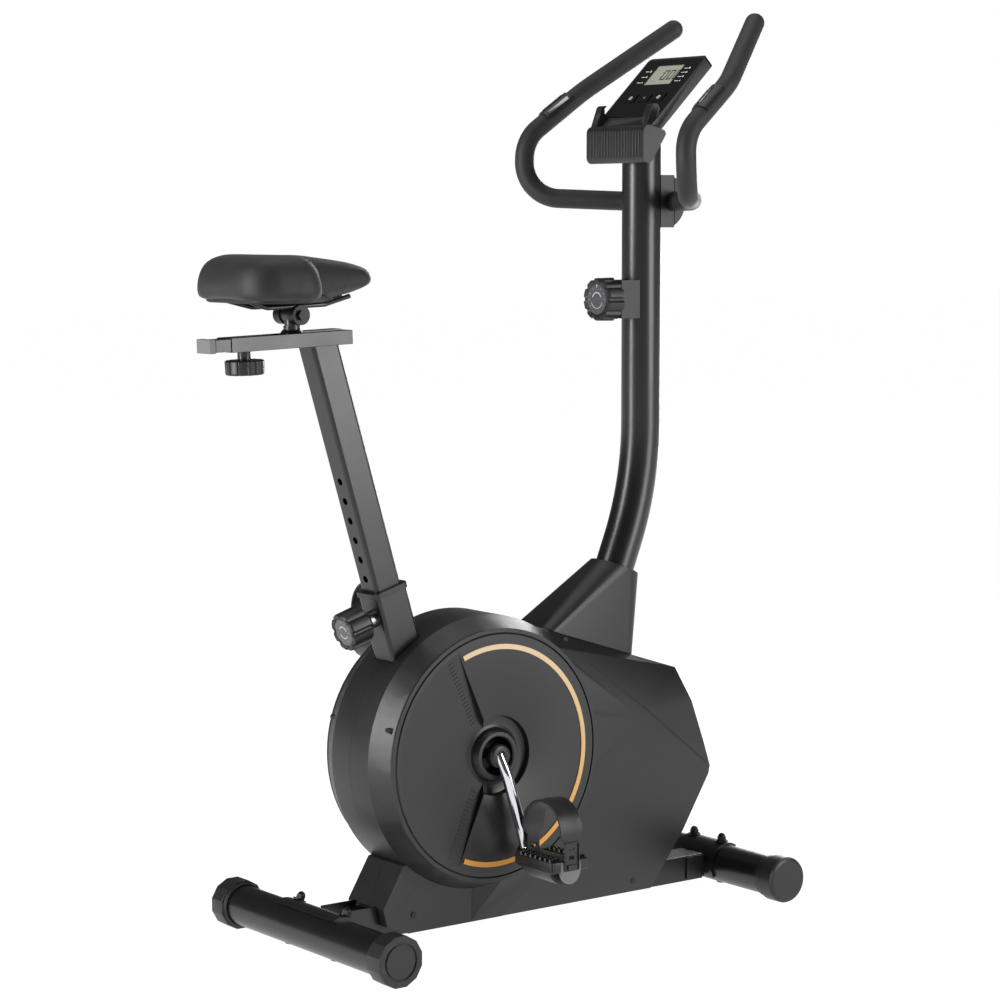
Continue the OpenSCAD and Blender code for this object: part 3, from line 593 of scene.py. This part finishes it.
def makePedalBody(name, origin, side):
    p = pedal
    wide, deep, tall = p["width"] / 2, p["depth"] / 2, p["height"] / 2
    bm = bmesh.new()
    for s in (-1, 1):
        near, far = sorted((s * (deep - p["bar"]), s * deep))
        addBox(bm, (near, -wide + 3, -tall), (far, wide - 3, tall - 3))
        addBox(bm, (-deep + 3, s * wide - 5, -tall + 1), (deep - 3, s * wide + 5 if s < 0 else wide, tall - 3))
    addBox(bm, (-p["axle"], -wide + 2, -p["axle"]), (p["axle"], wide - 2, p["axle"]))
    roundEdges(bm, 1.8, 3)
    for s in (-1, 1):  # tread studs in rows on each bar
        for row in range(p["studRows"]):
            for k in range(p["studs"]):
                x = s * (deep - 2.8 - row * p["rowPitch"])
                y = -wide + 10 + k * (2 * wide - 20) / (p["studs"] - 1)
                stud = bmesh.ops.create_cone(bm, cap_ends=True, segments=10, radius1=2.4, radius2=1.5,
                                             depth=4.5)["verts"]
                bmesh.ops.scale(bm, vec=(0.8, 1.6, 1), verts=stud)
                bmesh.ops.translate(bm, vec=(x, y, tall - 1.2), verts=stud)
    weight = bmesh.ops.create_circle(bm, cap_ends=True, radius=p["weightRadius"], segments=40)["verts"]
    for v in weight:
        v.co.y = min(v.co.y, p["weightTop"])
    addSlab(bm, weight, -wide + 12, wide - 14)
    bmesh.ops.remove_doubles(bm, verts=bm.verts, dist=1e-4)
    toAxes(bm, origin, (1, 0, 0), (0, side, 0), (0, 0, 1))
    makePiece("pedal_body_" + name, bm, mouldedNylon, name + "_pedal", ["pedal_" + name], 35)


def makeCheek(name, origin, side):  # the pale outer cheek that carries the strap hook
    p = pedal
    wide = p["width"] / 2
    bm = bmesh.new()
    cheek = bmesh.ops.create_circle(bm, cap_ends=True, radius=p["cheekRadius"], segments=40)["verts"]
    for v in cheek:
        v.co.y = v.co.y * p["cheekTall"] - p["cheekDrop"]
        v.co.y = min(v.co.y, p["cheekTop"])
    addSlab(bm, cheek, wide - 6, wide + 0.2)
    roundEdges(bm, 1.2, 2, 40)
    toAxes(bm, origin, (1, 0, 0), (0, side, 0), (0, 0, 1))
    makePiece("pedal_cheek_" + name, bm, greyPlug, name + "_pedal", smoothAngle=35)


def makeStrap(name, origin, side):  # two punched tails and a wide ribbed band arched over the foot
    t = strap
    half = pedal["width"] / 2 + t["gap"]
    straight = t["arch"] + t["drop"]
    total = 2 * straight + math.pi * half
    tail = straight * t["tailShare"]
    bm = bmesh.new()
    bmesh.ops.create_grid(bm, x_segments=t["rows"], y_segments=4, size=1)
    columns = {-1.0: -1.0, -0.5: -t["column"], 0.0: 0.0, 0.5: t["column"], 1.0: 1.0}
    holes = []
    for f in bm.faces:
        c = f.calc_center_median()
        along = (c.x + 1) / 2 * total
        fromEnd = min(along, total - along)
        index = int((c.x + 1) / 2 * t["rows"])
        punched = index % t["holeEvery"] in (1, 2)
        if t["holeInset"] < fromEnd < tail - t["holeInset"] and abs(c.y) < 0.5 and punched:
            holes.append(f)
    bmesh.ops.delete(bm, geom=holes, context="FACES")
    for v in bm.verts:
        along = (v.co.x + 1) / 2 * total
        fromEnd = min(along, total - along)
        widen = min(1, max(0, (fromEnd - tail) / t["widenOver"]))
        widen = widen * widen * (3 - 2 * widen)
        halfWidth = (t["end"] + (t["top"] - t["end"]) * widen) / 2
        x = columns[round(v.co.y * 2) / 2] * halfWidth
        ridge = t["ridge"] * widen * (1 if abs(v.co.y) < 0.25 else 0)
        if along < straight:
            y, z, out = half, -t["drop"] + along, (1, 0)
        elif along > total - straight:
            y, z, out = -half, -t["drop"] + total - along, (-1, 0)
        else:
            turn = (along - straight) / half
            y, z = half * math.cos(turn), t["arch"] + half * math.sin(turn)
            out = (math.cos(turn), math.sin(turn))
        v.co = (x, y + out[0] * ridge, z + out[1] * ridge)
    bmesh.ops.recalc_face_normals(bm, faces=bm.faces)
    bmesh.ops.solidify(bm, geom=bm.faces, thickness=t["thick"])
    addBox(bm, (-13, half - 0.6, -7), (-11.2, half + 2.2, 34))  # the buckle: two sides, a bar and a hook
    addBox(bm, (11.2, half - 0.6, -7), (13, half + 2.2, 34))
    addBox(bm, (-13, half - 0.6, 32), (13, half + 2.2, 34))
    addBox(bm, (-8, half + 1.2, -6), (8, half + 2.6, 1))
    toAxes(bm, origin, (1, 0, 0), (0, side, 0), (0, 0, 1))
    piece = makePiece("foot_strap_" + name, bm, softVinyl, name + "_pedal", ["strap_" + name], 32)
    rounded = piece.modifiers.new("softEdges", "BEVEL")
    rounded.width = 0.5 * mm
    rounded.segments = 2
    rounded.limit_method = "ANGLE"
    rounded.angle_limit = math.radians(50)


for side, name in ((-1, "right"), (1, "left")):
    origin = Vector(joints["pedal_%s_spin" % name]["pos_m"])
    origin.y = side * pedal["sideways"]
    makePedalBody(name, origin, side)
    makeCheek(name, origin, side)
    makeStrap(name, origin, side)
print("pedals done")


# console: ribs, digits, marks and keys

console = {"at": (0.262, 0, 1.195), "tilt": 44, "ribs": 18, "ribPitch": 6.7, "ribHalf": 1.5,
           "ribFront": 246.9, "ribBack": 249.5, "ribLow": 1148, "ribHigh": 1190,
           "lcdMiddle": 117, "digit": (10.5, 22), "stroke": 2.3, "firstDigit": -4, "digitPitch": 14.5,
           "dots": [(-6.8, 112), (-6.8, 122), (-24, 105), (-24, 129), (-16, 103)],
           "marksOut": 44, "marksFrom": 100, "keyAt": 64, "keyPitch": 33, "keyHalf": (10, 7), "keyTop": 1.78}
slope = math.radians(console["tilt"])
up = Vector((math.cos(slope), 0, math.sin(slope)))
out = Vector((-math.sin(slope), 0, math.cos(slope)))
across = Vector((0, -1, 0))  # from the rider's left to their right


def onConsole(bm):
    toAxes(bm, console["at"], across, up, out)


def makeRibs():  # the speaker-like ribs under the console's face
    c = console
    bm = bmesh.new()
    for k in range(c["ribs"]):
        y = (k - (c["ribs"] - 1) / 2) * c["ribPitch"]
        addBox(bm, (c["ribFront"], y - c["ribHalf"], c["ribLow"]), (c["ribBack"], y + c["ribHalf"], c["ribHigh"]))
    roundEdges(bm, 1.1, 3)
    toMetres(bm)
    makePiece("console_ribs", bm, mouldedAbs, "frame", smoothAngle=40)


def makeDigits():  # three noughts in plain strokes and a few segments' dots, sunk in the window
    wide, tall = console["digit"]
    stroke = console["stroke"]
    middle = console["lcdMiddle"]
    low, high = middle - tall / 2, middle + tall / 2
    bm = bmesh.new()
    for k in range(3):
        x = console["firstDigit"] + k * console["digitPitch"]
        for a, b in (((x, low), (x + wide, low + stroke)), ((x, high - stroke), (x + wide, high)),
                     ((x, low + 2.2), (x + stroke, middle - 0.5)), ((x, middle + 0.5), (x + stroke, high - 2.2)),
                     ((x + wide - stroke, low + 2.2), (x + wide, middle - 0.5)),
                     ((x + wide - stroke, middle + 0.5), (x + wide, high - 2.2))):
            addBox(bm, (*a, -0.7), (*b, -0.45))
    for x, y in console["dots"]:
        addBox(bm, (x, y, -0.7), (x + 1.5, y + 1.5, -0.45))
    onConsole(bm)
    makePiece("display_digits", bm, crystalInk, "frame")


def makeMarks():  # plain printed lines and small shapes on both sides of the window
    bm = bmesh.new()
    for s, count, pitch in ((-1, 3, 12.5), (1, 4, 9.5)):
        x = s * console["marksOut"]
        for k in range(count):
            y = console["marksFrom"] + k * pitch
            addBox(bm, (x - 6, y, 0.5), (x + 2, y + 1.3, 0.75))
            mark = bmesh.ops.create_cone(bm, cap_ends=True, segments=3 + k, radius1=2.1, radius2=2.1,
                                         depth=0.3)["verts"]
            bmesh.ops.translate(bm, vec=(x + 6, y + 0.7, 0.62), verts=mark)
    onConsole(bm)
    makePiece("display_marks", bm, whiteInk, "frame")


def makeKeyOutline(place, name):  # a printed outline that goes down with its key
    bm = bmesh.new()
    grid = bmesh.ops.create_grid(bm, x_segments=1, y_segments=1, size=1)["verts"]
    bmesh.ops.scale(bm, vec=(*console["keyHalf"], 1), verts=grid)
    bmesh.ops.bevel(bm, geom=bm.verts[:], offset=2.2, offset_type="OFFSET", segments=4, profile=0.5,
                    affect="VERTICES", clamp_overlap=True, material=-1)
    face = bm.faces[:][0]
    rim = bmesh.ops.inset_region(bm, faces=[face], thickness=1.4, depth=0)["faces"]
    bmesh.ops.delete(bm, geom=[face], context="FACES")
    bmesh.ops.translate(bm, vec=(0, 0, 0.3), verts=extruded(bm, rim)[0])
    if place:
        addArc(bm, 3.0, 0.9, 0.15, 0, 2 * math.pi, 0.15)
    addBox(bm, (-0.5, -1.6, 0), (0.5, 1.6, 0.3))
    at = (-place * console["keyPitch"], console["keyAt"], console["keyTop"])
    bmesh.ops.translate(bm, vec=at, verts=bm.verts)
    onConsole(bm)
    makePiece("key_outline_" + name, bm, whiteInk, "key_" + name)


makeRibs()
makeDigits()
makeMarks()
for place, name in ((-1, "right"), (0, "middle"), (1, "left")):
    makeKeyOutline(place, name)
print("console details done")


# casing details laid on the moulded surface

casingSkin = {}
for side, name in ((1, "casing_left"), (-1, "casing_right")):
    bm = bmesh.new()
    bm.from_mesh(nodes[name].data)
    casingSkin[side] = BVHTree.FromBMesh(bm)
    bm.free()


def skinAt(side, x, z):  # distance of the casing's outside from the middle plane
    hit = casingSkin[side].ray_cast(Vector((x, side * 0.3, z)), Vector((0, -side, 0)))[0]
    return abs(hit.y) if hit else 0.045


trim = {"from": (134, 393), "to": (402, 205), "wide": 6.5, "narrow": 3.0, "steps": 48}
for side, name in ((1, "left"), (-1, "right")):
    bm = bmesh.new()
    start = Vector((trim["from"][0], 0, trim["from"][1])) * mm
    end = Vector((trim["to"][0], 0, trim["to"][1])) * mm
    along = (end - start).normalized()
    sideways = Vector((-along.z, 0, along.x))
    bmesh.ops.create_grid(bm, x_segments=trim["steps"], y_segments=2, size=1)
    for v in bm.verts:
        share = (v.co.x + 1) / 2
        width = (trim["wide"] + (trim["narrow"] - trim["wide"]) * share) * mm / 2
        at = start.lerp(end, share) + sideways * (v.co.y * width)
        proud = 0.5 if abs(v.co.y) < 0.5 else 0.1
        v.co = Vector((at.x, side * (skinAt(side, at.x, at.z) + proud * mm), at.z))
    bmesh.ops.recalc_face_normals(bm, faces=bm.faces)
    bmesh.ops.solidify(bm, geom=bm.faces[:], thickness=1.2 * mm)
    makePiece("casing_trim_" + name, bm, coarsePp, "frame", smoothAngle=50)
print("casing trims done")


# small hardware

boltHead = {"radius": 0.0085, "flatness": 0.42, "raised": 0.0008, "rearSpread": 0.06, "frontSpread": 0.033}
bm = bmesh.new()  # carriage-bolt heads under both stabilisers
rearLow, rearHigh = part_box("rear_stabiliser")
frontLow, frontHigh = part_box("front_stabiliser")
for low, high, spread in ((rearLow, rearHigh, boltHead["rearSpread"]),
                          (frontLow, frontHigh, boltHead["frontSpread"])):
    for s in (-1, 1):
        head = bmesh.ops.create_uvsphere(bm, u_segments=24, v_segments=12, radius=boltHead["radius"])["verts"]
        bmesh.ops.scale(bm, vec=(1, 1, boltHead["flatness"]), verts=head)
        at = ((low.x + high.x) / 2, s * spread, low.z + boltHead["raised"])
        bmesh.ops.translate(bm, vec=at, verts=head)
makePiece("bolt_heads", bm, blackOxide, "frame", smoothAngle=60)
nodes["cap_nuts"].data.materials[0] = blackOxide
nodes["saddle_rails"].data.materials[0] = powderCoat
nodes["casing_screws"].data.materials[0] = coarsePp
nodes["pulse_sensors"].data.materials[0] = mouldedNylon

grip = {"from": (0.224, 0.192, 1.180), "to": (0.325, 0.172, 1.257), "stripAt": 0.053, "turns": (-30, 22),
        "halfSweep": 9, "profile": [(17.35, 0), (17.7, 1), (17.7, 41), (17.35, 42)], "thick": 0.4}
bm = bmesh.new()  # bright contact strips let into the pulse pads
gripFrom = Vector(grip["from"])
gripAlong = (Vector(grip["to"]) - gripFrom).normalized()
for side in (-1, 1):
    flip = Vector((1, side, 1))
    along = gripAlong * flip
    inward = Vector((-0.35, -side * 0.35, 0.86))
    inward = (inward - along * inward.dot(along)).normalized()
    third = along.cross(inward)
    for turn in grip["turns"]:
        piece = bmesh.new()
        start, sweep = math.radians(turn - grip["halfSweep"]), math.radians(2 * grip["halfSweep"])
        addSpin(piece, grip["profile"], 5, start, sweep)
        bmesh.ops.solidify(piece, geom=piece.faces[:], thickness=grip["thick"])
        toAxes(piece, gripFrom * flip + along * grip["stripAt"], inward, third, along)
        mesh = bpy.data.meshes.new("strip")
        piece.to_mesh(mesh)
        piece.free()
        bm.from_mesh(mesh)
makePiece("pulse_strips", bm, padSteel, "handlebar", smoothAngle=40)
print("hardware done")


# floor, lights and camera

stage = {"floor": 60, "keyPower": 92, "fillPower": 125, "topPower": 30, "stripPower": 42, "ambient": 0.08}
bm = bmesh.new()
bmesh.ops.create_grid(bm, x_segments=1, y_segments=1, size=stage["floor"] / 2)
floorMesh = bpy.data.meshes.new("floor")
bm.to_mesh(floorMesh)
bm.free()
floor = bpy.data.objects.new("floor", floorMesh)
bpy.context.scene.collection.objects.link(floor)
# Painted studio floor, lit evenly as far as it can be seen: white, with only a trace of shadow under the feet
paleFloor = surfaceMaterial("paleStudioFloor", "5A5A59", 0.8, grainMm=3, bump=0.02, mottle=0.01,
                            Emission_Strength=0.98, Emission_Color=(1, 1, 1, 1))
floorMesh.materials.append(paleFloor)
floor.location.z = -0.0005


def addLight(name, power, size, at, aim):
    light = bpy.data.lights.new(name, "AREA")
    light.energy = power
    light.shape = "RECTANGLE"
    light.size, light.size_y = size
    lamp = bpy.data.objects.new(name, light)
    bpy.context.scene.collection.objects.link(lamp)
    lamp.location = at
    lamp.rotation_euler = (Vector(aim) - Vector(at)).to_track_quat("-Z", "Y").to_euler()


middle = (0, 0, 0.6)
addLight("softboxRight", stage["keyPower"], (1.5, 2.4), (1.7, -3.2, 1.5), middle)
addLight("softboxLeft", stage["fillPower"], (0.9, 2.6), (-3.3, 0.4, 1.3), middle)
addLight("overhead", stage["topPower"], (2.4, 2.4), (0.2, 0.2, 3.6), middle)
addLight("stripRear", stage["stripPower"], (0.4, 2.2), (2.4, 1.6, 1.4), middle)

world = bpy.data.worlds.new("paleStudio")
world.use_nodes = True
backdrop = world.node_tree.nodes["Background"]
backdrop.inputs["Color"].default_value = (1, 1, 1, 1)
# the backdrop looks white but lights the bike only softly
rays = addNode(world.node_tree, "ShaderNodeLightPath")
glow = addNode(world.node_tree, "ShaderNodeMapRange", {"To Min": stage["ambient"], "To Max": 1.0},
               {"Value": rays.outputs["Is Camera Ray"]})
world.node_tree.links.new(glow.outputs["Result"], backdrop.inputs["Strength"])
bpy.context.scene.world = world
bpy.context.scene.view_settings.view_transform = "Standard"

view = {"at": (-2.4782, -3.3051, 1.0556), "along": (0.60138, 0.79268, -0.1), "lens": 100.6}
cameraData = bpy.data.cameras.new("camera")
cameraData.lens = view["lens"]
cameraData.sensor_width = 36
camera = bpy.data.objects.new("camera", cameraData)
bpy.context.scene.collection.objects.link(camera)
camera.location = view["at"]
camera.rotation_euler = Vector(view["along"]).to_track_quat("-Z", "Y").to_euler()
bpy.context.scene.camera = camera
print("stage done")
